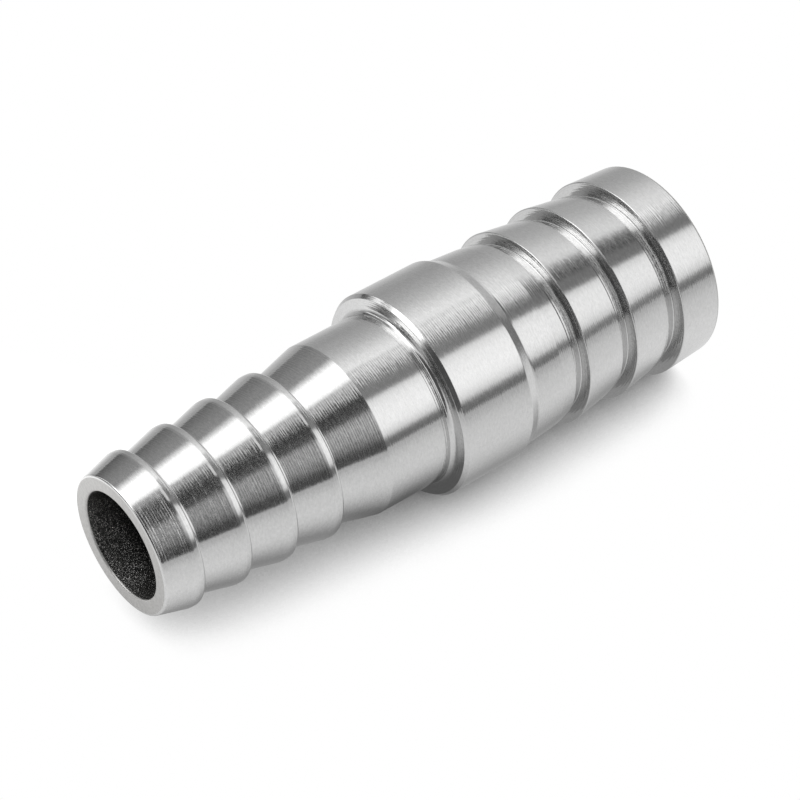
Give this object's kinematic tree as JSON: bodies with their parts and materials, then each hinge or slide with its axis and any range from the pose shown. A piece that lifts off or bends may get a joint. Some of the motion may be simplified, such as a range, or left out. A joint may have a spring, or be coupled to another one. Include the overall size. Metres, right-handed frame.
{
  "type": "hose barb reducer",
  "caption": "Turned steel hose connector with a slim barbed spigot, plain neck, stop collar and wider barbed spigot, bored through to join two hoses of different size.",
  "frame": {"origin": "centre of the large end's face, where the reducer stands", "axes": "+Z along the axis, from the large hose end to the small hose end"},
  "size_m": [0.018, 0.018, 0.0546],
  "materials": {
    "turned_steel": "bright stainless steel with fine circumferential turning lines"
  },
  "bodies": {
    "root": {"reducer_body": "turned_steel"}
  },
  "joints": []
}
